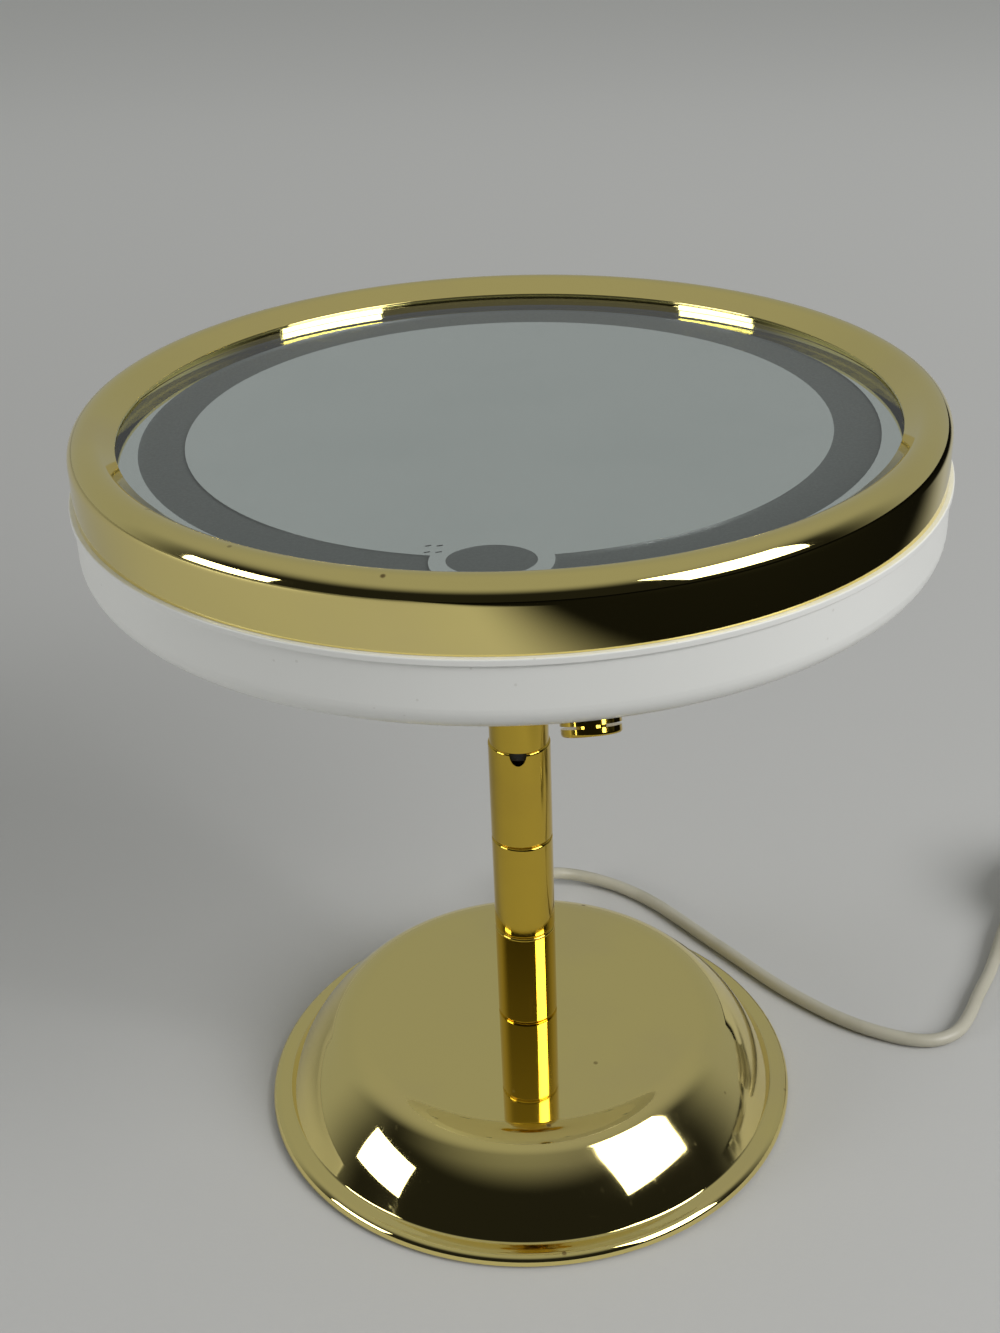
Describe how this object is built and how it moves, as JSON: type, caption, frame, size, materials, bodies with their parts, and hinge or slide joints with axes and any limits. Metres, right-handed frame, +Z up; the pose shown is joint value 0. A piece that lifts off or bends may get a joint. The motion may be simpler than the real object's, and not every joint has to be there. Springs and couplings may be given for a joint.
{
  "type": "lighted makeup mirror",
  "caption": "Round lit makeup mirror in a gold ring and white housing, tilting on a gold post with a round weighted base and a supply lead.",
  "frame": {"origin": "middle of the pad under the base, on the surface it stands on", "axes": "+Z up along the post, -Y towards the front, where the touch mark is, +X to the right"},
  "size_m": [0.3059, 0.2022, 0.2017],
  "materials": {
    "gold_metal": "mirror-polished gold plating",
    "gold_plating": "gold plating on plastic",
    "steel": "zinc plated",
    "weight_iron": "as cast",
    "pad_rubber": "foam rubber",
    "white_plastic": "satin",
    "diffuser_plastic": "grey frosted",
    "dark_plastic": "board and moulded parts",
    "lead_rubber": "satin",
    "clear_glass": "clear",
    "silvering": "silvered"
  },
  "bodies": {
    "base": {"base_shell": "gold_metal", "base_plate": "steel", "base_pad": "pad_rubber", "base_weight": "weight_iron", "base_screws": "steel", "base_washer": "steel", "base_nut": "steel", "post_pipe": "steel", "tube_lower": "gold_metal", "tube_middle": "gold_metal", "tube_upper": "gold_metal", "post_bushes": "white_plastic", "hinge_fork": "gold_metal", "friction_washers": "steel", "hinge_pin": "gold_metal", "hinge_nut": "gold_metal", "cord_boot": "lead_rubber", "post_lead": "lead_rubber", "power_cord": "lead_rubber", "cord_coil": "lead_rubber", "cord_tie": "dark_plastic", "plug_lead": "lead_rubber", "plug_grip": "lead_rubber", "plug_shell": "steel", "plug_tongue": "white_plastic"},
    "head": {"hinge_bracket": "gold_metal", "bracket_backing": "steel", "bracket_screws": "steel", "housing": "white_plastic", "back_cover": "white_plastic", "cover_screws": "steel", "driver_board": "dark_plastic", "driver_parts": "dark_plastic", "bezel_ring": "gold_plating", "mirror_glass": "clear_glass", "mirror_silvering": "silvering", "diffuser_ring": "diffuser_plastic", "mirror_foam": "pad_rubber", "mirror_tray": "white_plastic", "touch_board": "dark_plastic", "led_board": "dark_plastic", "led_chips": "diffuser_plastic", "bezel_screws": "steel", "button_collar": "gold_metal", "button_switch": "dark_plastic", "switch_board": "dark_plastic"},
    "button": {"power_button": "gold_metal", "button_clip": "steel"}
  },
  "joints": [
    {"name": "head_tilt", "type": "hinge", "parent": "base", "child": "head", "pos_m": [0, 0, 0.1412], "axis": [1, 0, 0], "range_deg": [-20, 90]},
    {"name": "button_press", "type": "slide", "parent": "head", "child": "button", "axis": [-0.0911, 0.4288, 0.8988], "range_m": [0, 0.0005], "stiffness_N_per_m": 2000}
  ]
}
